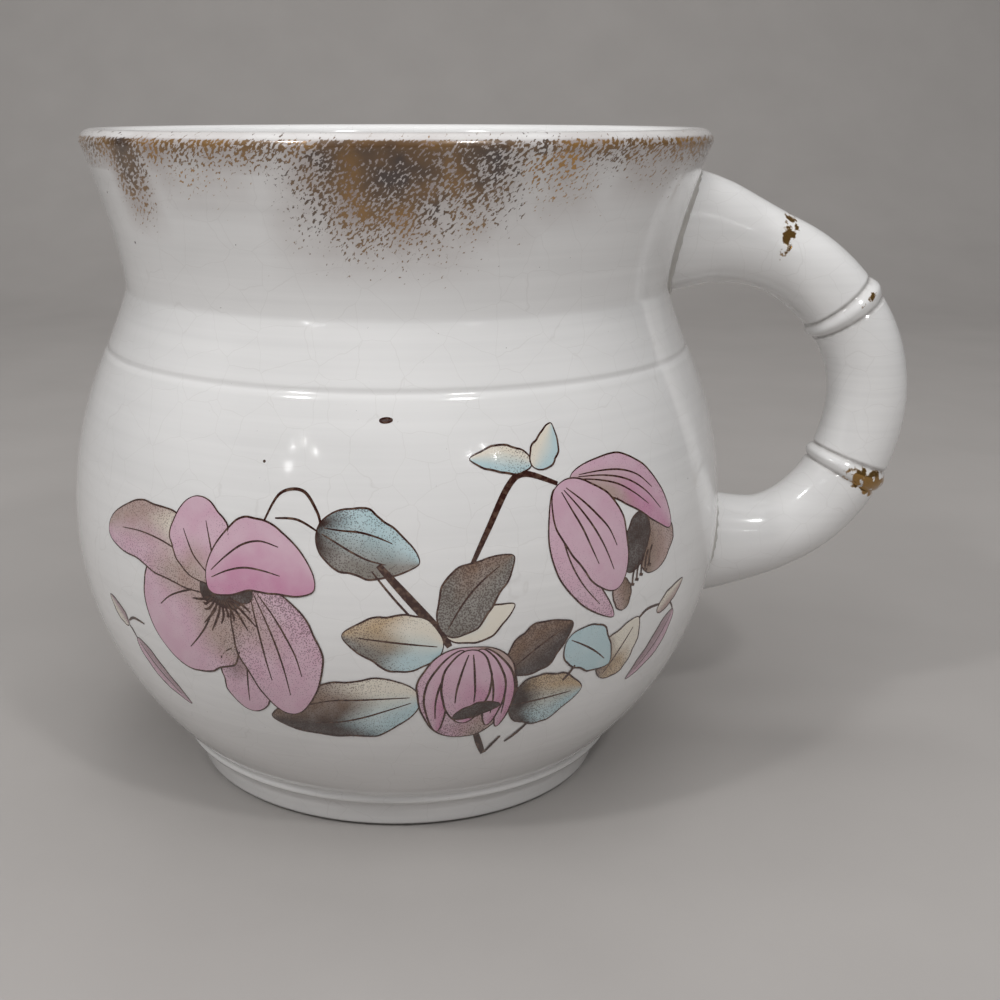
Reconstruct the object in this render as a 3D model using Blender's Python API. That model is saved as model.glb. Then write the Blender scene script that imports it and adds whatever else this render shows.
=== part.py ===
"""Shaving mug: a turned earthenware vessel with a cast loop handle stuck on with slip.

Metres, +Z up, standing on its foot. The front of the mug faces -Y and the handle points to +X.
"""
import bmesh
import bpy
from math import cos, pi, radians, sin, sqrt
from mathutils import Vector

MM = 0.001

# Driving dimensions
HEIGHT = 95.7 * MM
RIM_RADIUS = 46.0 * MM
CREASE_RADIUS, CREASE_Z = 40.3 * MM, 72.9 * MM        # where the collar meets the shoulder
COLLAR_HOLLOW, SHOULDER_HOLLOW = 1.4, 1.15            # 1 is a straight cone, more is hollower
BELLY_RADIUS, BELLY_Z = 48.9 * MM, 40.0 * MM          # the belly's widest line
BELLY_RISE, BELLY_FALL = 53.0 * MM, 47.0 * MM         # half heights of its ellipses, above and below
GROOVE_Z = 64.4 * MM                                  # line turned round the shoulder
FOOT_Z = 5.8 * MM                                     # top of the foot ring
BASE_RADIUS = 30.5 * MM
HANDLE_REACH = 78.7 * MM                              # turning axis to the back of the handle

WALL = 3.8 * MM
LIP_RADIUS = 1.8 * MM
GROOVE_DEPTH = 0.35 * MM
FOOT_BEAD, BEAD_OUT = 1.2 * MM, 0.3 * MM
FOOT_CHAMFER = 0.7 * MM
RING_WIDTH = 4.4 * MM
FLOOR_Z = 9.4 * MM
FLOOR_RADIUS = 24.0 * MM
RECESS_DEPTH = 3.4 * MM

HANDLE_HALF = 6.0 * MM                                # half its thickness in the plane of the loop
HANDLE_DEPTH = 5.6 * MM                               # half its thickness, front to back
UPPER_FLARE, UPPER_FLARE_LENGTH = 4.0 * MM, 22.0 * MM  # how the ends spread towards the wall
LOWER_FLARE, LOWER_FLARE_LENGTH = 2.7 * MM, 19.0 * MM
DEPTH_FLARE = 0.25                                    # share of the flare that goes front to back
NODE_BULGE, NODE_HALF_WIDTH = 0.45 * MM, 2.2 * MM     # how far a bamboo node stands out
NODES_AT = (0.37, 0.65)                               # shares of the way along the handle
GAP = 0.3 * MM                                        # clearance between neighbouring pieces
SLIP_THICKNESS = 0.8 * MM
SLIP_SPREAD = 0.7 * MM                                # slip squeezed out round the joint

TURN_STEPS = 64
HANDLE_STEPS = 53
END_STEPS = 11                                        # steps that a slip joint is cut from
MERGE = 0.00001

# The box runs from the belly's left side to the back of the handle, centred on x = 0
AXIS_X = (BELLY_RADIUS - HANDLE_REACH) / 2


def clear_scene():
    for old in list(bpy.data.objects):
        bpy.data.objects.remove(old)


def glazed(name, colour, roughness):
    material = bpy.data.materials.new(name)
    material.use_nodes = True
    shader = material.node_tree.nodes["Principled BSDF"]
    shader.inputs["Base Color"].default_value = (*colour, 1.0)
    shader.inputs["Roughness"].default_value = roughness
    shader.inputs["Metallic"].default_value = 0.0
    shader.inputs["Coat Weight"].default_value = 0.6
    return material


def arc(centre, radius, start, stop, count):
    """Points on an arc, with angles in degrees from +X towards +Z."""
    angles = [radians(start + (stop - start) * i / (count - 1)) for i in range(count)]
    return [(centre[0] + radius * cos(a), centre[1] + radius * sin(a)) for a in angles]


def curve_through(points, count):
    """A smooth curve through a few (radius, height) points, read at even steps."""
    ends = [points[0], *points, points[-1]]
    spans = len(points) - 1
    result = []
    for i in range(count):
        where = spans * i / (count - 1)
        span = min(int(where), spans - 1)
        t = where - span
        p0, p1, p2, p3 = (Vector(p) for p in ends[span:span + 4])
        bend = p1 * 2 + (p2 - p0) * t + (p0 * 2 - p1 * 5 + p2 * 4 - p3) * t ** 2
        bend += (p1 * 3 - p0 - p2 * 3 + p3) * t ** 3
        result.append(tuple(bend / 2))
    return result


def belly_radius(z):
    """The belly is two half ellipses that meet at its widest line."""
    half_height = BELLY_RISE if z > BELLY_Z else BELLY_FALL
    return BELLY_RADIUS * sqrt(1 - ((z - BELLY_Z) / half_height) ** 2)


def slope(start, end, hollow, count):
    """A hollow cone from its narrow start to its wide end, as (radius, height) points."""
    shares = [i / (count - 1) for i in range(count)]
    return [(start[0] + (end[0] - start[0]) * t ** hollow, start[1] + (end[1] - start[1]) * t)
            for t in shares]


def outer_outline():
    """Outside of the vessel from the crown of the lip down to the foot."""
    lip = arc((RIM_RADIUS - LIP_RADIUS, HEIGHT - LIP_RADIUS), LIP_RADIUS, 90, 0, 6)
    crease = (CREASE_RADIUS, CREASE_Z)
    collar = slope(crease, lip[-1], COLLAR_HOLLOW, 7)[::-1]
    above_groove, below_groove = GROOVE_Z + GROOVE_DEPTH, GROOVE_Z - GROOVE_DEPTH
    shoulder = slope(crease, (belly_radius(above_groove), above_groove), SHOULDER_HOLLOW, 7)
    groove = [(belly_radius(GROOVE_Z) - GROOVE_DEPTH, GROOVE_Z)]
    heights = [below_groove + (FOOT_Z - below_groove) * i / 16 for i in range(17)]
    belly = [(belly_radius(z), z) for z in heights]
    foot_radius = belly_radius(FOOT_Z)
    bead = [(foot_radius + BEAD_OUT, FOOT_Z - FOOT_BEAD / 2), (foot_radius - BEAD_OUT, FOOT_Z - FOOT_BEAD)]
    foot = [(BASE_RADIUS + FOOT_CHAMFER, FOOT_CHAMFER), (BASE_RADIUS, 0.0)]
    return lip + collar[1:] + shoulder[1:] + groove + belly + bead + foot


def under_outline():
    """Underside from the inner edge of the foot ring to the axis."""
    inner = BASE_RADIUS - RING_WIDTH
    return [(inner, 0.0), (inner - 0.6 * MM, 0.7 * MM), (inner - 3.0 * MM, RECESS_DEPTH - 0.5 * MM),
            (inner - 6.0 * MM, RECESS_DEPTH), (0.0, RECESS_DEPTH)]


def inner_outline():
    """Inside from the centre of the floor up to the lip."""
    lip_centre = (RIM_RADIUS - LIP_RADIUS, HEIGHT - LIP_RADIUS)
    side = curve_through([(FLOOR_RADIUS, FLOOR_Z), (36.5 * MM, 16 * MM), (43 * MM, 27 * MM),
                          (BELLY_RADIUS - WALL, BELLY_Z), (43.5 * MM, 52.5 * MM), (39.5 * MM, 64.5 * MM),
                          (CREASE_RADIUS - WALL, CREASE_Z + MM), (39.5 * MM, 85 * MM)], 17)
    lip = arc(lip_centre, LIP_RADIUS, 180, 108, 5)
    return [(0.0, FLOOR_Z), *side, *lip]


def turn(name, outline):
    """Spin an outline, which starts and ends on the axis, into a closed solid."""
    mesh = bpy.data.meshes.new(name)
    edges = [(i, i + 1) for i in range(len(outline) - 1)]
    mesh.from_pydata([(radius, 0.0, height) for radius, height in outline], edges, [])
    piece = bpy.data.objects.new(name, mesh)
    bpy.context.scene.collection.objects.link(piece)
    screw = piece.modifiers.new("turned", "SCREW")
    screw.steps = TURN_STEPS
    screw.render_steps = TURN_STEPS
    screw.use_merge_vertices = True
    screw.merge_threshold = MERGE
    screw.use_smooth_shade = True
    return piece


def make_body(axis):
    body = turn("mug_body", inner_outline() + outer_outline() + under_outline())
    body.data.materials.append(glazed("body_glaze", (0.70, 0.68, 0.63), 0.16))
    body.parent = axis
    return body


def skin(name, axis, offset):
    """A cutter: the outside of the vessel, solid and grown outwards by the offset."""
    grown = [(radius + offset, height) for radius, height in outer_outline()]
    top, bottom = (0.0, grown[0][1]), (0.0, grown[-1][1])
    cutter = turn(name, [top, *grown, bottom])
    cutter.parent = axis
    cutter.hide_render = True
    cutter.display_type = "WIRE"
    return cutter


# Bends of the handle's centre line, in millimetres from the turning axis and the foot. The
# first and last are buried in the wall.
HANDLE_ROUTE = [(37, 81), (49, 80), (62, 74.5), (70.5, 64.5), (72.5, 53), (68, 40.5), (58, 33), (42, 31.5)]


def eased(share):
    share = min(max(share, 0.0), 1.0)
    return share * share * (3 - 2 * share)


def handle_stations(count):
    """Centre, direction, half height and half depth at even steps along the handle."""
    line = [Vector((x, 0.0, z)) * MM for x, z in curve_through(HANDLE_ROUTE, count)]
    walked = [0.0]
    for here, there in zip(line, line[1:]):
        walked.append(walked[-1] + (there - here).length)
    stations = []
    for i, centre in enumerate(line):
        along = (line[min(i + 1, count - 1)] - line[max(i - 1, 0)]).normalized()
        flare = UPPER_FLARE * eased(1 - walked[i] / UPPER_FLARE_LENGTH)
        flare += LOWER_FLARE * eased(1 - (walked[-1] - walked[i]) / LOWER_FLARE_LENGTH)
        swell = 0.0
        for node_at in NODES_AT:
            distance = abs(walked[i] - node_at * walked[-1])
            swell += NODE_BULGE * max(0.0, 1.0 - distance / NODE_HALF_WIDTH)
        stations.append((centre, along, HANDLE_HALF + flare + swell,
                         HANDLE_DEPTH + DEPTH_FLARE * flare + swell))
    return stations


def sweep(name, stations, spread=0.0, sides=24):
    """Join oval sections along the stations into one closed solid."""
    shape = bmesh.new()
    rings = []
    for centre, along, half, depth in stations:
        across = Vector((0.0, 1.0, 0.0)).cross(along)
        ring = []
        for side in range(sides):
            angle = 2 * pi * (side + 0.5) / sides
            offset = across * (half + spread) * cos(angle)
            offset += Vector((0.0, depth + spread, 0.0)) * sin(angle)
            ring.append(shape.verts.new(centre + offset))
        rings.append(ring)
    for ring, after in zip(rings, rings[1:]):
        for i in range(sides):
            j = (i + 1) % sides
            shape.faces.new((ring[i], ring[j], after[j], after[i]))
    shape.faces.new(rings[0])
    shape.faces.new(rings[-1])
    bmesh.ops.recalc_face_normals(shape, faces=shape.faces)
    for face in shape.faces:
        face.smooth = len(face.verts) == 4
    mesh = bpy.data.meshes.new(name)
    shape.to_mesh(mesh)
    shape.free()
    piece = bpy.data.objects.new(name, mesh)
    bpy.context.scene.collection.objects.link(piece)
    return piece


def cut(piece, cutter, operation):
    trim = piece.modifiers.new(operation.lower(), "BOOLEAN")
    trim.operation = operation
    trim.solver = "EXACT"
    trim.object = cutter


def make_handle(axis):
    handle = sweep("handle", handle_stations(HANDLE_STEPS))
    handle.data.materials.append(glazed("handle_glaze", (0.68, 0.67, 0.63), 0.16))
    handle.parent = axis
    cut(handle, skin("handle_skin", axis, 2 * GAP + SLIP_THICKNESS), "DIFFERENCE")
    return handle


def make_slip(name, axis, stations, near, far):
    """A pad of slip between the wall and one end of the handle."""
    slip = sweep(name, stations, SLIP_SPREAD)
    slip.data.materials.append(glazed(name + "_glaze", (0.52, 0.51, 0.48), 0.2))
    slip.parent = axis
    cut(slip, far, "INTERSECT")
    cut(slip, near, "DIFFERENCE")
    return slip


def build():
    clear_scene()
    axis = bpy.data.objects.new("turning_axis", None)
    axis.location = (AXIS_X, 0.0, 0.0)
    bpy.context.scene.collection.objects.link(axis)
    make_body(axis)
    make_handle(axis)
    near = skin("slip_near_skin", axis, GAP)
    far = skin("slip_far_skin", axis, GAP + SLIP_THICKNESS)
    stations = handle_stations(HANDLE_STEPS)
    make_slip("upper_joint_slip", axis, stations[:END_STEPS], near, far)
    make_slip("lower_joint_slip", axis, stations[-END_STEPS:], near, far)


build()
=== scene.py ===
"""Shaving mug: glazed earthenware with a sponged lustre rim and a hand-coloured flower spray.

Metres, +Z up. The front of the mug faces -Y and the handle points to +X.
"""
import random
from math import cos, hypot, pi, radians, sin, sqrt

import bpy
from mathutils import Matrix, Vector


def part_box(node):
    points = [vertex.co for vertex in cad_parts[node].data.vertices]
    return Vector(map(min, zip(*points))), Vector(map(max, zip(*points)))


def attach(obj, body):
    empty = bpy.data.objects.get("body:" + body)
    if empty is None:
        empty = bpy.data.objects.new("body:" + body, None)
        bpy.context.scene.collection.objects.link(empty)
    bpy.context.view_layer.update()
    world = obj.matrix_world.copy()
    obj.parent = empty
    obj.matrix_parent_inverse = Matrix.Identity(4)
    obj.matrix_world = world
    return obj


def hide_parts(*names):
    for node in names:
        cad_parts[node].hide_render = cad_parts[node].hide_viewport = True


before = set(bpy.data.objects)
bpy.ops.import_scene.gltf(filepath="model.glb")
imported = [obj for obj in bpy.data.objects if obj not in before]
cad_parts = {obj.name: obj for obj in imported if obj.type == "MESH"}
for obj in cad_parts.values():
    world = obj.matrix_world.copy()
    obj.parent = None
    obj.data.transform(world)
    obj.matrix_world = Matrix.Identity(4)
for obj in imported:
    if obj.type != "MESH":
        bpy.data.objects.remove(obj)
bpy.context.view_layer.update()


# ---------------------------------------------------------------------------------------------
# Mug body. The real one is earthenware turned on a wheel, dipped in a clear lead glaze. Here it
# is a fine turned mesh on the CAD body's axis, with its lip, groove and foot bead modelled.

MM = 0.001
low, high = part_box("mug_body")
AXIS_X = (low[0] + high[0]) / 2
HEIGHT = high[2]
BELLY_RADIUS, BELLY_Z = (high[0] - low[0]) / 2, 40.0 * MM
BELLY_RISE, BELLY_FALL = 53.0 * MM, 47.0 * MM
RIM_RADIUS, LIP_RADIUS = 46.0 * MM, 1.8 * MM
CREASE_RADIUS, CREASE_Z = 40.3 * MM, 72.9 * MM
COLLAR_HOLLOW, SHOULDER_HOLLOW = 1.4, 1.15
GROOVE_Z, GROOVE_DEPTH, GROOVE_HALF = 64.4 * MM, 0.35 * MM, 0.6 * MM
FOOT_Z, FOOT_BEAD, BEAD_OUT = 5.8 * MM, 1.2 * MM, 0.3 * MM
BASE_RADIUS, FOOT_CHAMFER, RING_WIDTH, RECESS_DEPTH = 30.5 * MM, 0.7 * MM, 4.4 * MM, 3.4 * MM
WALL, FLOOR_Z, FLOOR_RADIUS, FLOOR_CORNER = 3.8 * MM, 9.4 * MM, 24.0 * MM, 14 * MM
THROAT_LENGTH, THROAT_OPENING = 8 * MM, 4 * MM       # the wall thins into the lip over this height
BODY_SIDES, INSIDE_ROWS, FLOOR_ROWS = 288, 70, 6
OUTSIDE_STEP = 0.35                                  # mm between rows, fine enough for the lustre

GLAZE_WHITE = "e8e7e6"       # bare glaze over a cream clay
GLAZE_SHADE = "e0dfde"       # where the glaze lies thicker
CRAZE_BROWN = "8f857a"
IRON_SPECK = "4b3b33"
LUSTRE_BROWN = "38261d"      # copper lustre, fired thick
LUSTRE_GOLD = "bd8c40"       # the same, fired thin
LUSTRE_HAZE = "7f655b"       # the faint film between the dabs


def belly_radius(z):
    """The belly is two half ellipses, one above its widest line and one below."""
    half_height = BELLY_RISE if z > BELLY_Z else BELLY_FALL
    return BELLY_RADIUS * sqrt(1 - ((z - BELLY_Z) / half_height) ** 2)


def outside_radius(z):
    """Outside of the vessel at a height, from the foot ring up to the lip's widest line."""
    if z < FOOT_Z - FOOT_BEAD:
        return BASE_RADIUS + FOOT_CHAMFER + (z / FOOT_Z) * (belly_radius(FOOT_Z) - BASE_RADIUS - MM)
    if z < FOOT_Z:
        return belly_radius(FOOT_Z) + BEAD_OUT * sin(pi * (FOOT_Z - z) / FOOT_BEAD)
    if z < GROOVE_Z:
        dip = max(0.0, 1 - (GROOVE_Z - z) / GROOVE_HALF)
        return belly_radius(z) - GROOVE_DEPTH * dip ** 2
    if z < CREASE_Z:
        rise = (CREASE_Z - z) / (CREASE_Z - GROOVE_Z)
        dip = max(0.0, 1 - (z - GROOVE_Z) / GROOVE_HALF)
        radius = CREASE_RADIUS + (belly_radius(GROOVE_Z) - CREASE_RADIUS) * rise ** SHOULDER_HOLLOW
        return radius - GROOVE_DEPTH * dip ** 2
    top = HEIGHT - LIP_RADIUS
    share = min((z - CREASE_Z) / (top - CREASE_Z), 1.0)
    return CREASE_RADIUS + (RIM_RADIUS - CREASE_RADIUS) * share ** COLLAR_HOLLOW


def inside_radius(z):
    """Inside wall: an even wall above, a rounded corner into the flat floor below."""
    wall_radius = outside_radius(max(z, FLOOR_Z + MM)) - WALL
    if z > FLOOR_Z + FLOOR_CORNER:
        return wall_radius
    share = (z - FLOOR_Z) / FLOOR_CORNER
    return FLOOR_RADIUS + (wall_radius - FLOOR_RADIUS) * sqrt(max(0.0, 1 - (1 - share) ** 2))


def new_piece(name, points, faces):
    mesh = bpy.data.meshes.new(name)
    mesh.from_pydata(points, [], faces)
    mesh.update()
    for face in mesh.polygons:
        face.use_smooth = True
    piece = bpy.data.objects.new(name, mesh)
    bpy.context.scene.collection.objects.link(piece)
    return piece


def paint(piece, name, values):
    """Store one number per point, which the piece's material reads by name."""
    layer = piece.data.attributes.new(name, "FLOAT", "POINT")
    layer.data.foreach_set("value", values)


def tint(piece, name, colours):
    """Store one linear colour per point, which the piece's material reads by name."""
    layer = piece.data.color_attributes.new(name, "FLOAT_COLOR", "POINT")
    layer.data.foreach_set("color", [value for colour in colours for value in colour])


def linear(code):
    """An sRGB hex colour as the linear colour that materials take."""
    parts = [int(code[i:i + 2], 16) / 255 for i in (0, 2, 4)]
    return (*[c / 12.92 if c < 0.04045 else ((c + 0.055) / 1.055) ** 2.4 for c in parts], 1.0)


def add(tree, kind, settings=None, inputs=None):
    """Add a node with its settings, and set each input to a value or link it to an output."""
    node = tree.nodes.new(kind)
    for key, value in (settings or {}).items():
        setattr(node, key, value)
    for key, value in (inputs or {}).items():
        if isinstance(value, bpy.types.Node):
            value = value.outputs[0]
        if isinstance(value, bpy.types.NodeSocket):
            tree.links.new(value, node.inputs[key])
        else:
            node.inputs[key].default_value = value
    return node


def start_glaze(name, roughness):
    """The gloss that every fired surface here shares: clear lead glaze, a little uneven."""
    material = bpy.data.materials.new(name)
    material.use_nodes = True
    tree = material.node_tree
    shader = tree.nodes["Principled BSDF"]
    shader.inputs["Roughness"].default_value = roughness
    shader.inputs["IOR"].default_value = 1.52
    shader.inputs["Coat Weight"].default_value = 0.5
    shader.inputs["Coat Roughness"].default_value = 0.06
    place = add(tree, "ShaderNodeTexCoord").outputs["Object"]
    # the glaze lies in swells about 6 mm across
    ripple = add(tree, "ShaderNodeTexNoise", None, {"Vector": place, "Scale": 170.0, "Detail": 2.0})
    bump = add(tree, "ShaderNodeBump", None,
               {"Height": ripple, "Strength": 0.25, "Distance": 0.12 * MM})
    tree.links.new(bump.outputs[0], shader.inputs["Normal"])
    return material, tree, shader, place


def white_glaze(tree, place):
    """Cream-white glaze: faint turned streaks, a net of crazing and a few iron specks."""
    # streaks about 1 mm high and 50 mm long, under soft clouds about 20 mm across
    streak_place = add(tree, "ShaderNodeVectorMath", {"operation": "MULTIPLY"},
                       {0: place, 1: (18.0, 18.0, 900.0)})
    streaks = add(tree, "ShaderNodeTexNoise", None,
                  {"Vector": streak_place, "Scale": 1.0, "Detail": 3.0})
    cloud = add(tree, "ShaderNodeTexNoise", None, {"Vector": place, "Scale": 45.0, "Detail": 3.0})
    amount = add(tree, "ShaderNodeMath", {"operation": "MULTIPLY"}, {0: streaks, 1: cloud})
    spread = add(tree, "ShaderNodeMapRange", None, {"Value": amount, 1: 0.12, 2: 0.42})
    base = add(tree, "ShaderNodeMix", {"data_type": "RGBA"},
               {0: spread, 6: linear(GLAZE_WHITE), 7: linear(GLAZE_SHADE)})
    # crazing cells about 5 mm across, with the cracks drawn wider than the real hairlines
    wander = add(tree, "ShaderNodeTexNoise", None, {"Vector": place, "Scale": 260.0})
    bent = add(tree, "ShaderNodeVectorMath", {"operation": "MULTIPLY_ADD"},
               {0: wander.outputs[1], 1: (0.0016,) * 3, 2: place})
    net = add(tree, "ShaderNodeTexVoronoi", {"feature": "DISTANCE_TO_EDGE"},
              {"Vector": bent, "Scale": 190.0})
    crack = add(tree, "ShaderNodeMapRange", None, {"Value": net, 1: 0.0, 2: 0.012, 3: 0.11, 4: 0.0})
    crazed = add(tree, "ShaderNodeMix", {"data_type": "RGBA"},
                 {0: crack, 6: base.outputs[2], 7: linear(CRAZE_BROWN)})
    # cells about 4 mm across, one in seven with an iron speck of at most 0.4 mm
    grain = add(tree, "ShaderNodeTexVoronoi", None, {"Vector": place, "Scale": 260.0})
    speck = add(tree, "ShaderNodeMath", {"operation": "LESS_THAN"}, {0: grain, 1: 0.055})
    chosen = add(tree, "ShaderNodeSeparateColor", None, {0: grain.outputs["Color"]})
    rare = add(tree, "ShaderNodeMath", {"operation": "GREATER_THAN"}, {0: chosen, 1: 0.86})
    both = add(tree, "ShaderNodeMath", {"operation": "MULTIPLY"}, {0: speck, 1: rare})
    return add(tree, "ShaderNodeMix", {"data_type": "RGBA"},
               {0: both, 6: crazed.outputs[2], 7: linear(IRON_SPECK)}).outputs[2]


def lustred_earthenware():
    """Glazed earthenware, turned then dipped: a bright soft gloss. Round the collar it carries
    copper lustre dabbed on with a sponge: slanting dashes that run from dark brown to gold."""
    material, tree, shader, place = start_glaze("glazed earthenware, turned, sponged lustre rim", 0.13)
    bare = white_glaze(tree, place)
    dabs = add(tree, "ShaderNodeAttribute", {"attribute_name": "lustre"}).outputs["Fac"]
    gilt = add(tree, "ShaderNodeAttribute", {"attribute_name": "thin_lustre"}).outputs["Fac"]
    # sponge marks: dashes about 0.6 mm long and 0.3 mm wide that slant down to the left, and
    # finer ones between them
    slanted = add(tree, "ShaderNodeAttribute", {"attribute_name": "slant"}).outputs["Vector"]
    dashes = add(tree, "ShaderNodeTexNoise", None, {"Vector": slanted, "Scale": 1.35, "Detail": 3.5})
    lack = add(tree, "ShaderNodeMath", {"operation": "SUBTRACT"}, {0: 1.0, 1: dabs})
    bar = add(tree, "ShaderNodeMapRange", None, {"Value": lack, 1: 0.0, 2: 1.0, 3: 0.36, 4: 0.76})
    over = add(tree, "ShaderNodeMath", {"operation": "SUBTRACT"}, {0: dashes, 1: bar})
    cover = add(tree, "ShaderNodeMapRange", None, {"Value": over, 1: -0.01, 2: 0.05, 4: 0.92})
    # brown and gold change over blotches about 8 mm across
    blotch = add(tree, "ShaderNodeTexNoise", None, {"Vector": place, "Scale": 130.0, "Detail": 3.0})
    golden = add(tree, "ShaderNodeMath", {"operation": "MULTIPLY_ADD"}, {0: blotch, 1: 1.6, 2: -0.85})
    ochred = add(tree, "ShaderNodeMath", {"operation": "ADD", "use_clamp": True},
                 {0: golden, 1: gilt})
    hue = add(tree, "ShaderNodeMix", {"data_type": "RGBA"},
              {0: ochred, 6: linear(LUSTRE_BROWN), 7: linear(LUSTRE_GOLD)})
    patchy = add(tree, "ShaderNodeMapRange", None, {"Value": blotch, 1: 0.3, 2: 0.7, 3: 0.35, 4: 1.0})
    film = add(tree, "ShaderNodeMath", {"operation": "MULTIPLY", "use_clamp": True},
               {0: dabs, 1: patchy})
    hazed = add(tree, "ShaderNodeMix", {"data_type": "RGBA"},
                {0: film, 6: bare, 7: linear(LUSTRE_HAZE)})
    colour = add(tree, "ShaderNodeMix", {"data_type": "RGBA"},
                 {0: cover, 6: hazed.outputs[2], 7: hue.outputs[2]})
    shine = add(tree, "ShaderNodeMath", {"operation": "MULTIPLY"}, {0: gilt, 1: 0.5})
    metal = add(tree, "ShaderNodeMath", {"operation": "MULTIPLY"}, {0: cover, 1: shine})
    dulled = add(tree, "ShaderNodeMapRange", None, {"Value": cover, 3: 0.13, 4: 0.3})
    tree.links.new(colour.outputs[2], shader.inputs["Base Color"])
    tree.links.new(metal.outputs[0], shader.inputs["Metallic"])
    tree.links.new(dulled.outputs[0], shader.inputs["Roughness"])
    return material


# Dabs of lustre round the collar: (degrees from the front, half width in degrees, how low they
# reach as a share of the collar, strength, how thin and gold)
LUSTRE_DABS = [(-50, 8, 0.6, 1.0, 0.3), (-34, 15, 0.45, 0.5, 0.9), (-2, 21, 0.85, 1.0, 0.1),
               (11, 14, 0.7, 0.9, 0.25), (25, 13, 0.5, 0.7, 0.9), (50, 20, 0.4, 0.5, 0.35),
               (110, 22, 0.6, 0.7, 0.3), (150, 24, 0.5, 0.8, 0.5), (-165, 20, 0.7, 0.9, 0.2),
               (-125, 22, 0.5, 0.6, 0.7), (-88, 16, 0.4, 0.5, 0.6)]
DAB_FADE = 1.6               # how suddenly a dab ends at its lower edge
# The next two are shares of the collar's height, down from the lip's widest line
LUSTRE_START = -0.045        # the band begins on the lip's outer side
BAND_DEPTH = 0.16            # and runs unbroken round the rim as far as this
BAND_STRENGTH, BAND_FALL, BAND_GOLD = 0.75, 0.4, 0.45
LIP_FLECKS, FLECK_GOLD = 0.3, 0.2
GOLDER_DOWN = 0.35           # the dabs get thinner and more golden downwards
# The dashes' own grid: how fast it runs along and across them, per millimetre
DASH_ALONG, DASH_ACROSS = 0.9, 1.6


def lustre_at(angle, z):
    """How thickly the collar is dabbed at a place, and how gold the dab is."""
    down = (HEIGHT - LIP_RADIUS - z) / (HEIGHT - LIP_RADIUS - CREASE_Z)
    if down > 1:
        return 0.0, 0.0
    if down < LUSTRE_START:                    # a few flecks strayed onto the lip
        return LIP_FLECKS, FLECK_GOLD
    thick, gold = 0.0, 0.0
    for middle, half, reach, strength, thinness in LUSTRE_DABS:
        off = abs((angle - middle + 180) % 360 - 180) / half
        lower = max(0.0, 1 - (max(down, 0.0) / reach) ** DAB_FADE)
        here = strength * max(0.0, 1 - off ** 2) * lower
        if here > thick:
            thick, gold = here, thinness
    if down < BAND_DEPTH:
        band = BAND_STRENGTH - BAND_FALL * max(down, 0.0) / BAND_DEPTH
        thick, gold = max(thick, band), gold if thick > band else BAND_GOLD
    return thick, min(1.0, gold + GOLDER_DOWN * down)


def body_outline():
    """Radius and height from the middle of the floor, up inside, over the lip and down to the
    middle of the underside, with the number of the first row that counts as outside."""
    top = HEIGHT - LIP_RADIUS
    lip = [(RIM_RADIUS - LIP_RADIUS + LIP_RADIUS * cos(radians(a)), top + LIP_RADIUS * sin(radians(a)))
           for a in range(180, -1, -12)]
    throat = min(RIM_RADIUS - 2 * LIP_RADIUS, inside_radius(top - THROAT_LENGTH) + THROAT_OPENING)
    inside = [(0.0, FLOOR_Z)] + [(FLOOR_RADIUS * i / FLOOR_ROWS, FLOOR_Z) for i in range(1, FLOOR_ROWS)]
    for i in range(INSIDE_ROWS):
        z = FLOOR_Z + (top - FLOOR_Z) * i / INSIDE_ROWS
        near_top = max(0.0, 1 - (top - z) / THROAT_LENGTH)
        inside.append((inside_radius(z) * (1 - near_top) + throat * near_top, z))
    rows = range(1, int(top / MM / OUTSIDE_STEP))
    outside = [(outside_radius(z), z) for z in (top - OUTSIDE_STEP * MM * i for i in rows)]
    ring = BASE_RADIUS - RING_WIDTH
    under = [(BASE_RADIUS, 0.0), (ring, 0.0), (ring - 0.6 * MM, 0.7 * MM),
             (ring - 3 * MM, RECESS_DEPTH - 0.5 * MM), (ring - 6 * MM, RECESS_DEPTH),
             (8 * MM, RECESS_DEPTH), (0.0, RECESS_DEPTH)]
    return inside + lip + outside + under, len(inside) + len(lip) // 2


def make_body():
    outline, first_outside = body_outline()
    points, thick, gold, slant = [], [], [], []
    for row, (radius, z) in enumerate(outline):
        for side in range(BODY_SIDES):
            angle = 2 * pi * side / BODY_SIDES
            points.append((AXIS_X + radius * sin(angle), -radius * cos(angle), z))
            dab, thin = lustre_at(360 * side / BODY_SIDES, z) if row > first_outside else (0.0, 0.0)
            thick.append(dab)
            gold.append(thin)
            around, depth, up = RIM_RADIUS * sin(angle) / MM, -RIM_RADIUS * cos(angle) / MM, z / MM
            slant.append((DASH_ALONG * (around + up), DASH_ACROSS * (up - around), DASH_ALONG * depth, 1.0))
    faces = []
    for row in range(len(outline) - 1):
        for side in range(BODY_SIDES):
            a, b = row * BODY_SIDES + side, row * BODY_SIDES + (side + 1) % BODY_SIDES
            faces.append((a, a + BODY_SIDES, b + BODY_SIDES, b))
    body = new_piece("turned_body", points, faces)
    paint(body, "lustre", thick)
    paint(body, "thin_lustre", gold)
    tint(body, "slant", slant)
    body.data.materials.append(lustred_earthenware())
    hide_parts("mug_body")
    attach(body, "root")


make_body()


# ---------------------------------------------------------------------------------------------
# Handle. The real one is a cast stem of bamboo, stuck on with slip and glazed with the body. Here
# it is one swept tube with two jointed nodes; its ends run into the wall.

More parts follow.
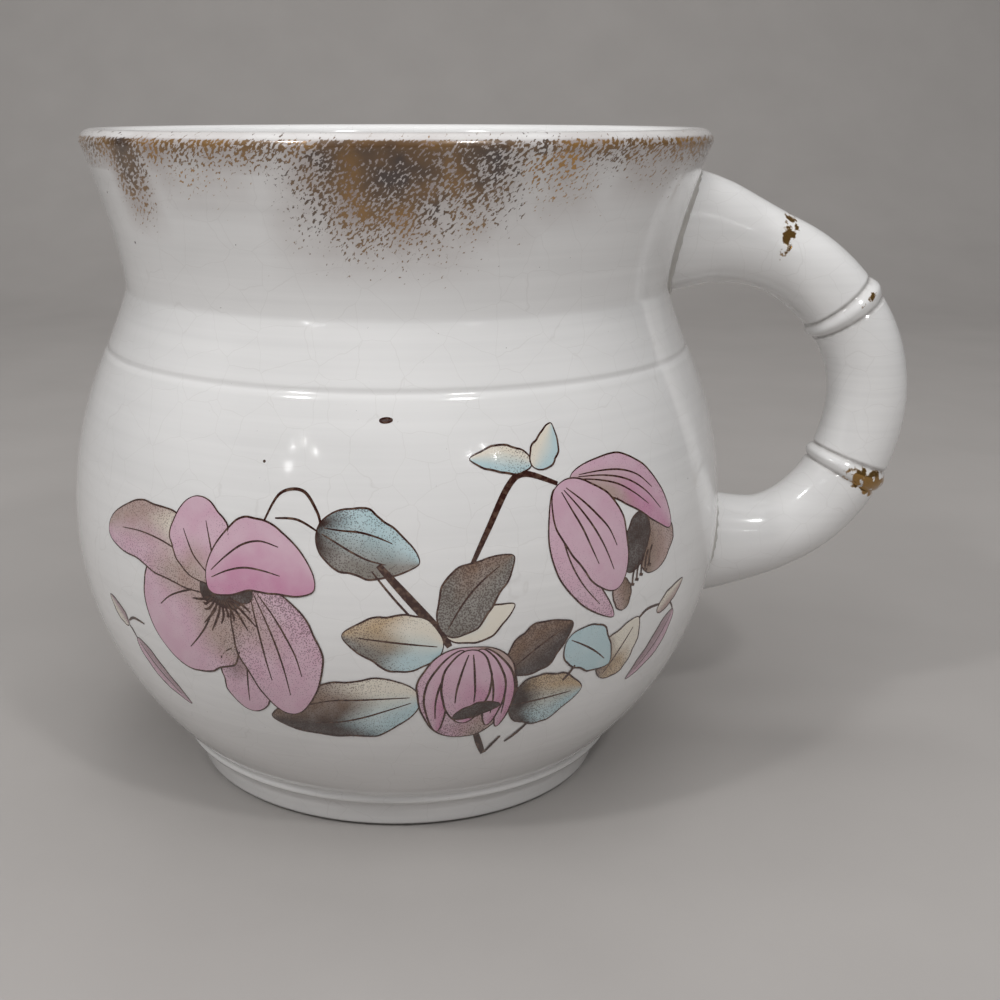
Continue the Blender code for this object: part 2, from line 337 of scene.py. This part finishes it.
# Bends of the stem's middle line: (mm out from the mug's axis, mm up)
HANDLE_ROUTE = [(37, 81), (49, 80), (62, 74.5), (70.5, 64.5),
                (72.5, 53), (68, 40.5), (58, 33), (42, 31.5)]
HANDLE_HALF, HANDLE_DEPTH = 6.0 * MM, 5.6 * MM
UPPER_FLARE, UPPER_FLARE_LENGTH = 4.0 * MM, 22.0 * MM
LOWER_FLARE, LOWER_FLARE_LENGTH = 2.7 * MM, 19.0 * MM
DEPTH_FLARE = 0.25                   # the ends flare a quarter as much to the sides
NODE_BULGE, NODE_HALF_WIDTH = 0.5 * MM, 1.5 * MM
NODE_CUT, NODE_CUT_HALF = 0.35 * MM, 0.35 * MM       # the line turned in beside each node
NODES_AT = (0.37, 0.65)              # shares of the way along
HANDLE_SIDES, HANDLE_STEPS = 72, 420
# Scraps of gilding: (share of the way along, half length, strength)
GILT_SCRAPS = [(0.216, 3.2 * MM, 0.95), (0.37, 2.2 * MM, 0.75), (0.655, 4 * MM, 1.2)]
GILT_FACING = radians(232)           # they face out of the loop and towards the front
GILT_WORN = "a57e42"
NODE_STAIN, STAIN_STRENGTH = "5a4a3c", 0.7


def curve_through(points, count):
    """A smooth curve through a few points, read at even steps."""
    ends = [points[0], *points, points[-1]]
    spans = len(points) - 1
    result = []
    for i in range(count):
        where = spans * i / (count - 1)
        span = min(int(where), spans - 1)
        t = where - span
        p0, p1, p2, p3 = (Vector(p) for p in ends[span:span + 4])
        bend = p1 * 2 + (p2 - p0) * t + (p0 * 2 - p1 * 5 + p2 * 4 - p3) * t ** 2
        result.append((bend + (p1 * 3 - p0 - p2 * 3 + p3) * t ** 3) / 2)
    return result


def eased(share):
    """A smooth step from 0 to 1."""
    share = min(max(share, 0.0), 1.0)
    return share * share * (3 - 2 * share)


def handle_stations(count):
    """For each place along the handle: its centre and direction, half height and half depth, the
    distance to the nearest node, the distance walked so far and the whole length."""
    line = [Vector((AXIS_X + x * MM, 0.0, z * MM)) for x, z in curve_through(HANDLE_ROUTE, count)]
    walked = [0.0]
    for here, there in zip(line, line[1:]):
        walked.append(walked[-1] + (there - here).length)
    stations = []
    for i, centre in enumerate(line):
        along = (line[min(i + 1, count - 1)] - line[max(i - 1, 0)]).normalized()
        flare = UPPER_FLARE * eased(1 - walked[i] / UPPER_FLARE_LENGTH)
        flare += LOWER_FLARE * eased(1 - (walked[-1] - walked[i]) / LOWER_FLARE_LENGTH)
        apart = min((walked[i] - share * walked[-1] for share in NODES_AT), key=abs)
        swell = NODE_BULGE * eased(1 - abs(apart) / NODE_HALF_WIDTH)
        swell -= NODE_CUT * eased(1 - abs(abs(apart) - NODE_HALF_WIDTH) / NODE_CUT_HALF)
        stations.append((centre, along, HANDLE_HALF + flare + swell,
                         HANDLE_DEPTH + DEPTH_FLARE * flare + swell, apart, walked[i], walked[-1]))
    return stations


def skin_point(centre, along, half, depth, angle):
    """A point on the handle's oval section: angle 0 faces into the loop, and pi out of it."""
    across = Vector((0.0, 1.0, 0.0)).cross(along)
    return centre + across * half * cos(angle) + Vector((0.0, depth, 0.0)) * sin(angle)


def tube(name, rings):
    """Join closed rings of points into an open-ended tube."""
    sides = len(rings[0])
    faces = []
    for row in range(len(rings) - 1):
        for side in range(sides):
            a, b = row * sides + side, row * sides + (side + 1) % sides
            faces.append((a, b, b + sides, a + sides))
    return new_piece(name, [point for ring in rings for point in ring], faces)


def cast_earthenware():
    """Glazed earthenware, cast in a mould: the body's gloss, with a brown stain lying in the cut
    lines and gilding that has worn down to scraps."""
    material, tree, shader, place = start_glaze("glazed earthenware, cast, worn gilding", 0.14)
    bare = white_glaze(tree, place)
    stain = add(tree, "ShaderNodeAttribute", {"attribute_name": "stain"}).outputs["Fac"]
    gilding = add(tree, "ShaderNodeAttribute", {"attribute_name": "gilding"}).outputs["Fac"]
    # the gilding is worn through in patches about 1 mm across
    wear = add(tree, "ShaderNodeTexNoise", None, {"Vector": place, "Scale": 900.0, "Detail": 4.0})
    left = add(tree, "ShaderNodeMath", {"operation": "MULTIPLY"}, {0: wear, 1: gilding})
    scraps = add(tree, "ShaderNodeMapRange", None, {"Value": left, 1: 0.38, 2: 0.44})
    dirt = add(tree, "ShaderNodeMath", {"operation": "MULTIPLY"}, {0: wear, 1: stain})
    stained = add(tree, "ShaderNodeMix", {"data_type": "RGBA"},
                  {0: dirt, 6: bare, 7: linear(NODE_STAIN)})
    colour = add(tree, "ShaderNodeMix", {"data_type": "RGBA"},
                 {0: scraps, 6: stained.outputs[2], 7: linear(GILT_WORN)})
    metal = add(tree, "ShaderNodeMath", {"operation": "MULTIPLY"}, {0: scraps, 1: 0.8})
    tree.links.new(colour.outputs[2], shader.inputs["Base Color"])
    tree.links.new(metal.outputs[0], shader.inputs["Metallic"])
    return material


def make_handle():
    """Sweep the section along the route, and mark where stain and gilding lie."""
    rings, stain, gilding = [], [], []
    for centre, along, half, depth, apart, walked, length in handle_stations(HANDLE_STEPS):
        ring = []
        for side in range(HANDLE_SIDES):
            angle = 2 * pi * side / HANDLE_SIDES
            point = skin_point(centre, along, half, depth, angle)
            from_axis = hypot(point.x - AXIS_X, point.y)
            buried = outside_radius(min(point.z, HEIGHT - LIP_RADIUS)) - WALL / 2
            if from_axis < buried:           # the ends stop inside the thickness of the wall
                point.x = AXIS_X + (point.x - AXIS_X) * buried / from_axis
                point.y *= buried / from_axis
            ring.append(point)
            stain.append(STAIN_STRENGTH * eased(1 - abs(abs(apart) - NODE_HALF_WIDTH) / (2 * NODE_CUT_HALF)))
            facing = max(0.0, cos(angle - GILT_FACING))
            gilding.append(facing * max(strength * eased(1 - abs(walked - at * length) / half_length)
                                        for at, half_length, strength in GILT_SCRAPS))
        rings.append(ring)
    handle = tube("cast_handle", rings)
    paint(handle, "stain", stain)
    paint(handle, "gilding", gilding)
    handle.data.materials.append(cast_earthenware())
    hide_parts("handle")
    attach(handle, "root")


make_handle()


# ---------------------------------------------------------------------------------------------
# Slip joints. The real ones are the slip squeezed out round each end of the handle, smoothed and
# glazed over. Here each is a thin bead that follows the line where handle and wall meet.

BEAD_HALF, BEAD_SIDES = 0.75 * MM, 12
SLIP_GREY = "a5a29d"
SLIP_LIGHT = "c9c6c0"


def pooled_glaze():
    """Slip smoothed by hand under glaze: the glaze pools here, so it looks greyer and wetter."""
    material, tree, shader, place = start_glaze("glaze pooled over smoothed slip", 0.1)
    cloud = add(tree, "ShaderNodeTexNoise", None, {"Vector": place, "Scale": 220.0, "Detail": 3.0})
    colour = add(tree, "ShaderNodeMix", {"data_type": "RGBA"},
                 {0: cloud, 6: linear(SLIP_GREY), 7: linear(SLIP_LIGHT)})
    tree.links.new(colour.outputs[2], shader.inputs["Base Color"])
    return material


def seam_line(stations):
    """Where the handle's surface leaves the wall, as one closed line of points."""
    line = []
    for side in range(HANDLE_SIDES):
        angle = 2 * pi * side / HANDLE_SIDES
        found = None
        for centre, along, half, depth, *_ in stations:
            point = skin_point(centre, along, half, depth, angle)
            if hypot(point.x - AXIS_X, point.y) > outside_radius(point.z):
                found = point
                break
        line.append(found)
    return line


def make_slip(name, node, stations, material):
    """Run a round bead along one seam, in place of the CAD node given."""
    line = seam_line(stations)
    rings = []
    for i, point in enumerate(line):
        along = (line[(i + 1) % len(line)] - line[i - 1]).normalized()
        out = Vector((point.x - AXIS_X, point.y, 0.0)).normalized()
        side = along.cross(out).normalized()
        rings.append([point + (out * cos(a) + side * sin(a)) * BEAD_HALF
                      for a in (2 * pi * k / BEAD_SIDES for k in range(BEAD_SIDES))])
    bead = tube(name, rings + rings[:1])
    bead.data.materials.append(material)
    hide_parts(node)
    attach(bead, "root")


slip_material = pooled_glaze()
route = handle_stations(HANDLE_STEPS)
make_slip("upper_slip_bead", "upper_joint_slip", route, slip_material)
make_slip("lower_slip_bead", "lower_joint_slip", route[::-1], slip_material)


# ---------------------------------------------------------------------------------------------
# Flower spray. The real one is a brown transfer print, coloured in by hand with enamels, then
# fired. Here each petal and leaf is a thin wash laid on the belly, with inked veins and edges
# over it. Places are in millimetres: across from the front of the mug, and up from its foot.

WASH_LIFT, LAYER_STEP = 0.02 * MM, 0.006 * MM    # each petal lies just over the one before it
PINK, ROSE, MAUVE, DUSK = "cfa9ba", "c489a6", "9b7d86", "b0968f"
OCHRE, CREAM, SKY = "c0a684", "e2dacb", "b5cdd2"
BROWN, UMBER, GREY = "836a59", "382923", "837e77"
INK = "3a1f19"
BLADE_ROWS, BLADE_HALF, EDGE_STEPS = 32, 8, 18   # a petal's rows, half its columns, its edge's bends
EYE_THREADS, STAMENS = 11, 5

washes = {"points": [], "faces": [], "colour": [], "stipple": []}
inks = {"points": [], "faces": []}
layers = [0]                  # petals laid since the group was started


def lay(across, up, lift):
    """A place on the tissue, laid on the belly."""
    angle, z = across * MM / BELLY_RADIUS, up * MM
    radius = outside_radius(z) + lift
    return (AXIS_X + radius * sin(angle), -radius * cos(angle), z)


def put_sheet(sheet, rows, lift):
    """Add a grid of tissue places to a sheet."""
    first, wide = len(sheet["points"]), len(rows[0])
    for row in rows:
        sheet["points"] += [lay(x, y, lift) for x, y in row]
    for i in range(len(rows) - 1):
        for j in range(wide - 1):
            a = first + i * wide + j
            sheet["faces"].append((a, a + 1, a + wide + 1, a + wide))


def blend_colours(first, second, share):
    """A colour part way from the first to the second."""
    share = min(max(share, 0.0), 1.0)
    return tuple(a + (b - a) * share for a, b in zip(first, second))


def ink_line(places, width, taper=0.45):
    """A pen line with tapered ends through a few tissue places; width in millimetres."""
    line = curve_through(places, 8 * len(places))
    rows = []
    for i, here in enumerate(line):
        along = (line[min(i + 1, len(line) - 1)] - line[max(i - 1, 0)]).normalized()
        share = i / (len(line) - 1)
        half = width / 2 * (taper + (1 - taper) * sin(pi * share))
        side = Vector((-along.y, along.x)) * half
        rows.append([tuple(here - side), tuple(here + side)])
    put_sheet(inks, rows, WASH_LIFT + LAYER_STEP * (layers[0] + 0.5))


def blade(base, tip, width, bend=0.0, ripple=0.05, fullness=0.5, wash=(PINK, ROSE), dots=(0.7, 0.2),
          veins=3, edge=0.24, skew=0.9, point=0.0, change=0.45):
    """One petal or leaf: swelling from its base and closing at its tip. bend bows it to its left,
    ripple waves its edge, fullness under 1 makes it blunter, point over 0 sharpens its tip and skew
    over 1 carries its width towards the tip. edge is its pen line's width. wash gives its right and
    left side's colours, or those of the base and then those of the tip, which meet at the share
    called change. dots says how densely it is stippled at the base and at the tip."""
    base, tip = Vector(base), Vector(tip)
    ahead = tip - base
    side = Vector((-ahead.y, ahead.x)).normalized()
    waves = random.random() * 6

    def place(t, s):
        half = width / 2 * sin(pi * min(max(t, 0.0), 1.0) ** skew) ** fullness * (1 - point * t ** 3)
        half *= 1 + ripple * (sin(11 * t + waves + 2 * s) + 0.6 * sin(23 * t + 3 * waves - s))
        return base + ahead * t + side * (bend * sin(pi * t) + s * half)

    layers[0] += 1
    rows = []
    for i in range(BLADE_ROWS + 1):
        t = 0.5 - 0.5 * cos(pi * i / BLADE_ROWS)
        rows.append([])
        for j in range(2 * BLADE_HALF + 1):
            s = j / BLADE_HALF - 1
            rows[-1].append(tuple(place(t, s)))
            near = blend_colours(linear(wash[0]), linear(wash[1]), 0.5 + 0.9 * s)
            far = blend_colours(linear(wash[-2]), linear(wash[-1]), 0.5 + 0.9 * s)
            meeting = change - 0.06 * sin(5 * s + waves)
            washes["colour"].append(blend_colours(near, far, 0.5 + 4 * (t - meeting)))
            washes["stipple"].append(max(0.0, dots[0] + (dots[1] - dots[0]) * t + 0.25 * s * s))
    put_sheet(washes, rows, WASH_LIFT + LAYER_STEP * layers[0])
    for s in (-1, 1):
        ink_line([tuple(place(0.5 - 0.5 * cos(pi * k / EDGE_STEPS), s)) for k in range(EDGE_STEPS + 1)],
                 edge)
    for k in range(veins):
        s = 0.0 if veins == 1 else 0.9 * k / (veins - 1) - 0.45
        reach = 0.78 - 0.3 * abs(s)
        ink_line([tuple(place(0.06 + reach * t / 4, s * (0.4 + 0.6 * t / 4))) for t in range(5)], edge)


def open_flower(x, y):
    """The full bloom: three petals lifted, three hanging, round a dark eye with threads."""
    dusk = (DUSK, DUSK, PINK, PINK)
    blade((x + 3, y - 7), (x + 1.6, y - 17), 8, 0, wash=(MAUVE, DUSK, PINK, PINK), dots=(1.0, 0.2), veins=1)
    blade((x, y + 0.5), (x - 11.5, y - 9.5), 17, -0.5, 0.035, 0.42, dusk, (0.95, 0.0), 2, 0.27)
    blade((x + 4, y + 1.5), (x + 8.5, y - 16.4), 11.4, 1.2, 0.03, 0.5, (DUSK, PINK, PINK, PINK), (1.0, 0.25),
          3, 0.27)
    blade((x, y + 1), (x - 22, y + 4.5), 9, -2.5, 0.05, 0.45, (CREAM, DUSK, DUSK, PINK), (0.6, 0.5), 1)
    blade((x - 3.4, y + 0.2), (x + 4.4, y + 0.4), 4.4, 0, 0.12, 0.4, (UMBER, UMBER), (1.0, 1.0), 0, 0.15)
    blade((x - 0.5, y + 1), (x - 5, y + 11.5), 9.5, 0.8, 0.04, 0.5, (PINK, DUSK, PINK, PINK), (0.6, 0.1), 2,
          0.24, 1.1)
    blade((x - 2.4, y + 1.6), (x + 12.6, y + 2.6), 9.4, 3.4, 0.035, 0.45, (ROSE, PINK), (0.2, 0.0), 2, 0.27)
    for k in range(EYE_THREADS):
        turn = radians(200 + 13 * k)
        start = (x + 1.2 * cos(turn), y + sin(turn))
        mid = (x + 3.2 * cos(turn + 0.1), y + 3 * sin(turn + 0.1))
        reach = 5 + 1.6 * sin(5 * k)
        ink_line([start, mid, (x + reach * cos(turn), y + reach * 0.9 * sin(turn))], 0.36, 0.3)


def bell_flower(x, y):
    """The nodding bell, hung from its stalk at the place given: a long front petal, a narrow one
    beside it, a curled back one, and a dark mouth with stamens."""
    blade((x + 14.5, y - 6), (x + 15, y - 14), 7.5, 1, 0.04, 0.42, (BROWN, DUSK), (0.8, 0.4), 0)
    blade((x + 13, y - 5.5), (x + 10, y - 13), 4.6, 0, 0.04, 0.45, (UMBER, UMBER), (1.0, 1.0), 0)
    blade((x + 8.5, y - 13.5), (x + 9.6, y - 18), 3.2, 0, 0.04, 0.45, (DUSK, BROWN), (0.7, 0.7), 0)
    blade((x + 1, y + 0.6), (x + 19, y - 8.5), 6, 3, 0.04, 0.5, (DUSK, PINK, ROSE, PINK), (0.2, 0.3), 3)
    blade((x - 1.5, y - 0.5), (x + 7.8, y - 18.6), 4.6, -2.6, 0.03, 0.6, (PINK, PINK), (0.1, 0.7), 1)
    blade((x - 0.8, y), (x + 8.4, y - 14.6), 9.2, 1, 0.03, 0.5, (PINK, PINK), (0.1, 0.2), 3, 0.28)
    for k in range(STAMENS):
        foot = (x + 10.8 + 0.8 * k, y - 14.8 + 0.5 * k)
        ink_line([foot, (foot[0] + 0.1, foot[1] + 1.4), (foot[0] + 0.6, foot[1] + 2.6)], 0.32, 0.8)
        ink_line([(foot[0] - 0.3, foot[1] + 0.1), (foot[0] + 0.4, foot[1] - 0.1)], 0.4, 0.8)


def round_bud(x, y):
    """The fat half-open bud: petals folded side by side, with a small dark mouth low down."""
    blade((x, y + 7), (x - 0.6, y - 7), 13.4, 0, 0.02, 0.4, (PINK, DUSK, PINK, DUSK), (0.1, 0.9), 0, 0.28)
    for shift, width in ((-4.4, 3.4), (4.8, 3), (3.2, 3.4), (-0.6, 6.6)):
        blade((x + shift * 0.3, y + 6.6), (x + shift * 0.95, y - 4.4 - 0.3 * abs(shift)), width, 0.35 * shift,
              0.02, 0.5, (PINK, PINK, PINK, ROSE), (0.0, 0.6), 2 if width > 5 else 1, 0.32)
    blade((x - 2, y - 3.6), (x + 4.4, y - 2), 2, 0.3, 0.08, 0.5, (UMBER, UMBER), (1.0, 1.0), 0)


def make_spray(turned):
    """The whole spray, turned so many millimetres round from the front of the mug. The layer count
    is set back for each group, to just above what it overlaps, so that no petal stands off the
    glaze."""
    def leaf(x, y, tip_x, tip_y, width, wash, dots, veins=1, bend=0.0, fullness=0.55, change=0.45):
        blade((turned + x, y), (turned + tip_x, tip_y), width, bend, 0.055, fullness, wash, dots, veins,
              0.27, 0.85, 0.35, change)

    def stem(width, *places):
        ink_line([(turned + x, y) for x, y in places], width, 0.6)

    layers[0] = 0
    stem(0.4, (-17, 49), (-15, 52.5), (-12, 53), (-10, 50.5), (-9.5, 48.5))
    stem(0.3, (-15.5, 49.5), (-12.5, 49.5), (-9.5, 48))
    leaf(-10, 48.6, 2.6, 44.6, 8.4, (UMBER, UMBER, GREY, SKY), (0.8, 0.4), 2, 0.0, 0.55, 0.14)
    stem(1.2, (-2.4, 44.4), (1, 40.5), (5, 35.8), (6.4, 33.6))
    stem(0.3, (-3.2, 43.6), (-0.2, 39.8), (3.8, 35.2))
    stem(0.85, (8.8, 43.6), (11, 48), (14, 53.2), (16.5, 54.6), (21, 53))
    leaf(5.6, 33.6, -7, 35.2, 8, (CREAM, SKY, OCHRE, GREY), (0.1, 0.9))
    leaf(5.8, 35.3, 14.6, 38.6, 4.4, (CREAM, SKY, CREAM, CREAM), (0.1, 0.1), 0, -0.6)
    leaf(5.8, 35.3, 14.4, 44.9, 7.2, (GREY, GREY, GREY, BROWN), (1.0, 0.9), 1, 1.2)
    leaf(17.6, 55.8, 9.2, 56.8, 3.4, (CREAM, SKY), (0.8, 0.0), 0, -0.3)
    leaf(17.9, 55.2, 21.2, 60.2, 3.8, (SKY, CREAM), (0.3, 0.0), 0, -0.5)
    layers[0] = 0
    bell_flower(turned + 21.9, 52.9)
    layers[0] = 6
    leaf(2.8, 26.2, -18, 21.8, 9.4, (CREAM, SKY, BROWN, UMBER), (0.3, 1.0), 2, 0.0, 0.55, 0.4)
    leaf(14.6, 29.4, 23, 35, 6.8, (UMBER, BROWN), (0.8, 1.0), 1, 0.4)
    leaf(29.6, 25.2, 34.8, 33, 7, (OCHRE, BROWN, CREAM, CREAM), (0.9, 0.1))
    leaf(22.6, 32.6, 30.6, 27.2, 6.6, (SKY, SKY), (0.3, 0.1), 1, 0.4)
    leaf(15.2, 23.8, 26.6, 24.4, 8.4, (UMBER, UMBER, SKY, OCHRE), (1.0, 0.5), 1, 0.0, 0.55, 0.3)
    stem(1.0, (10.8, 20.4), (11.8, 18), (13, 15.6))
    stem(0.5, (15, 18.6), (14, 17.2), (13.2, 15.8))
    stem(0.5, (19, 20.4), (17.4, 18.6), (16, 17.4))
    stem(0.45, (24.4, 28.4), (23.4, 27), (22.8, 26.4))
    round_bud(turned + 9.4, 26.4)
    layers[0] = 0
    stem(0.45, (34, 32), (36.4, 33.6), (39.6, 33.6))
    stem(0.35, (39.6, 33.6), (42, 33.2), (43.4, 31.8))
    leaf(39, 32.6, 45, 35.8, 2.4, (DUSK, CREAM), (0.6, 0.3), 0)
    leaf(43.6, 31.6, 36, 23, 3.8, (MAUVE, PINK), (0.3, 0.5), 1, 0.7)
    layers[0] = 7
    open_flower(turned - 22.8, 39.2)
    layers[0] = 0
    leaf(-41, 28.4, -33, 20.2, 3.2, (PINK, MAUVE), (0.5, 0.5), 1, -0.4)
    leaf(-42.4, 30, -46.4, 33.4, 2.4, (MAUVE, CREAM), (0.6, 0.3), 0)
    stem(0.35, (-42.2, 30), (-41.6, 29.4), (-41, 28.4))
    stem(0.4, (-38, 31.4), (-40.4, 31.6), (-42, 30.8))


def enamel_on_transfer():
    """Enamel painted thinly over a stippled transfer print: soft colour, broken by fine dots of
    brown, under the same gloss as the glaze."""
    material, tree, shader, place = start_glaze("enamel over stippled transfer", 0.14)
    wash = add(tree, "ShaderNodeVertexColor", {"layer_name": "enamel"}).outputs["Color"]
    stipple = add(tree, "ShaderNodeAttribute", {"attribute_name": "stipple"}).outputs["Fac"]
    # the brush left the colour thinner in patches about 3 mm across
    thin = add(tree, "ShaderNodeTexNoise", None, {"Vector": place, "Scale": 380.0, "Detail": 3.0})
    pale = add(tree, "ShaderNodeMapRange", None, {"Value": thin, 1: 0.35, 2: 0.7, 3: 0.0, 4: 0.14})
    worn = add(tree, "ShaderNodeMix", {"data_type": "RGBA"},
               {0: pale, 6: wash, 7: linear(GLAZE_WHITE)})
    # transfer dots 0.22 mm apart, the pitch of fine stipple engraving drawn a little coarser
    cells = add(tree, "ShaderNodeTexVoronoi", None, {"Vector": place, "Scale": 4600.0})
    size = add(tree, "ShaderNodeMath", {"operation": "MULTIPLY"}, {0: stipple, 1: 0.5})
    gap = add(tree, "ShaderNodeMath", {"operation": "SUBTRACT"}, {0: size, 1: cells})
    dot = add(tree, "ShaderNodeMapRange", None, {"Value": gap, 1: -0.06, 2: 0.06, 3: 0.0, 4: 0.6})
    colour = add(tree, "ShaderNodeMix", {"data_type": "RGBA"},
                 {0: dot, 6: worn.outputs[2], 7: linear(INK)})
    tree.links.new(colour.outputs[2], shader.inputs["Base Color"])
    return material


def transfer_line():
    """Brown printing colour under the glaze: the crisp lines of the transfer, a little uneven
    where the tissue took less of it."""
    material, tree, shader, place = start_glaze("brown transfer line under glaze", 0.14)
    # patches about 0.7 mm long where the line is lighter
    uptake = add(tree, "ShaderNodeTexNoise", None, {"Vector": place, "Scale": 1500.0})
    share = add(tree, "ShaderNodeMapRange", None, {"Value": uptake, 1: 0.45, 2: 0.75, 3: 0.0, 4: 0.6})
    colour = add(tree, "ShaderNodeMix", {"data_type": "RGBA"}, {0: share, 6: linear(INK), 7: linear(BROWN)})
    tree.links.new(colour.outputs[2], shader.inputs["Base Color"])
    return material


random.seed(7)
make_spray(0.0)
make_spray(pi * BELLY_RADIUS / MM)
# one grain of iron that burnt through the glaze above the spray
blade((-2.4, 61.4), (-0.7, 61.5), 0.5, 0, 0, 0.4, (INK, INK), (1.0, 1.0), 0)
spray_washes = new_piece("spray_washes", washes["points"], washes["faces"])
tint(spray_washes, "enamel", washes["colour"])
paint(spray_washes, "stipple", washes["stipple"])
spray_washes.data.materials.append(enamel_on_transfer())
spray_ink = new_piece("spray_ink", inks["points"], inks["faces"])
spray_ink.data.materials.append(transfer_line())
for sheet in (spray_washes, spray_ink):
    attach(sheet, "root")


# ---------------------------------------------------------------------------------------------
# Table, lights and camera. A plain painted board that sweeps up behind, one large softbox high in
# front that does most of the lighting, weaker ones round it, and small lamps that the glaze
# mirrors as glints.

TABLE_GAP = 0.1 * MM          # keeps the foot ring and the table from sharing one plane
TABLE_BACK, TABLE_FRONT, TABLE_SIDE, WALL_HEIGHT = 0.7, -2.5, 2.5, 0.9
SWEEP_RADIUS, SWEEP_STEPS = 0.25, 16
TABLE_COLOUR, TABLE_GRAIN = "aba7a4", "a19d9a"


def make_table():
    """A matt board that curves up into a wall behind the mug."""
    rows = [(TABLE_FRONT, 0.0)]
    for i in range(SWEEP_STEPS + 1):
        a = pi / 2 * i / SWEEP_STEPS
        rows.append((TABLE_BACK - SWEEP_RADIUS + SWEEP_RADIUS * sin(a), SWEEP_RADIUS * (1 - cos(a))))
    rows.append((TABLE_BACK, WALL_HEIGHT))
    points = [(x, y, z - TABLE_GAP) for y, z in rows for x in (-TABLE_SIDE, TABLE_SIDE)]
    faces = [(2 * i, 2 * i + 1, 2 * i + 3, 2 * i + 2) for i in range(len(rows) - 1)]
    table = new_piece("table", points, faces)
    material = bpy.data.materials.new("matt painted board")
    material.use_nodes = True
    tree = material.node_tree
    place = add(tree, "ShaderNodeTexCoord").outputs["Object"]
    cloud = add(tree, "ShaderNodeTexNoise", None, {"Vector": place, "Scale": 30.0, "Detail": 4.0})
    colour = add(tree, "ShaderNodeMix", {"data_type": "RGBA"},
                 {0: cloud, 6: linear(TABLE_COLOUR), 7: linear(TABLE_GRAIN)})
    shader = tree.nodes["Principled BSDF"]
    tree.links.new(colour.outputs[2], shader.inputs["Base Color"])
    shader.inputs["Roughness"].default_value = 0.8
    table.data.materials.append(material)


def add_light(name, place, size, power, target=(AXIS_X, 0.0, 50 * MM), mirrored=True):
    """A round soft light, aimed at the mug's middle; mirrored says whether the glaze reflects it."""
    lamp = bpy.data.lights.new(name, "AREA")
    lamp.shape, lamp.size, lamp.energy = "DISK", size, power
    light = bpy.data.objects.new(name, lamp)
    light.location = place
    light.visible_glossy = mirrored
    light.rotation_euler = (Vector(target) - Vector(place)).to_track_quat("-Z", "Y").to_euler()
    bpy.context.scene.collection.objects.link(light)


# Small lamps low in front: each gives one round glint on the belly (x, y, z, metres)
GLINT_LAMPS = [(-0.37, -0.49, 0.27), (-0.33, -0.50, 0.29), (-0.29, -0.52, 0.26),
               (0.22, -0.53, 0.25), (0.27, -0.51, 0.27), (0.31, -0.50, 0.24)]
GLINT_SIZE, GLINT_POWER = 0.009, 0.012
ROOM_COLOUR, ROOM_STRENGTH = "c6c6ca", 0.09
CAMERA_DISTANCE, CAMERA_RISE = 204.7 * MM, 2.6 * MM      # from the mug's axis, and above its rim
CAMERA_TILT, CAMERA_TURN = 78.14, -0.75                  # degrees
CAMERA_LENS, CAMERA_SHIFT = 48.8, (0.085, -0.106)        # mm, and shares of the frame


def make_camera():
    """Close above the rim, looking a little down, as a hand-held view of the front."""
    camera = bpy.data.objects.new("camera", bpy.data.cameras.new("camera"))
    camera.location = (AXIS_X, -CAMERA_DISTANCE, HEIGHT + CAMERA_RISE)
    camera.rotation_euler = (radians(CAMERA_TILT), 0.0, radians(CAMERA_TURN))
    camera.data.lens = CAMERA_LENS
    camera.data.shift_x, camera.data.shift_y = CAMERA_SHIFT
    camera.data.clip_start = 0.01
    bpy.context.scene.collection.objects.link(camera)
    bpy.context.scene.camera = camera


make_table()
add_light("front softbox", (-0.05, -0.54, 0.78), 1.0, 4.5, mirrored=False)
add_light("left softbox", (-0.85, -0.15, 0.5), 0.5, 1.5, mirrored=False)
add_light("right softbox", (0.85, -0.1, 0.55), 0.5, 0.8, mirrored=False)
add_light("backdrop lamp", (0.0, 0.15, 0.9), 0.5, 2.2, (0.0, TABLE_BACK, 0.35), mirrored=False)
add_light("overhead softbox", (0.0, 0.0, 0.6), 0.6, 0.45)
add_light("left lamp", (-0.28, -0.30, 0.42), 0.05, 0.5)
add_light("right lamp", (0.16, -0.34, 0.42), 0.05, 0.45)
for number, place in enumerate(GLINT_LAMPS):
    add_light(f"glint lamp {number}", place, GLINT_SIZE, GLINT_POWER)
add_light("window", (-0.36, -0.47, 0.2), 0.03, 0.02)
world = bpy.data.worlds.new("room")
world.use_nodes = True
world.node_tree.nodes["Background"].inputs["Color"].default_value = linear(ROOM_COLOUR)
world.node_tree.nodes["Background"].inputs["Strength"].default_value = ROOM_STRENGTH
bpy.context.scene.world = world
bpy.context.scene.view_settings.view_transform = "Standard"
make_camera()
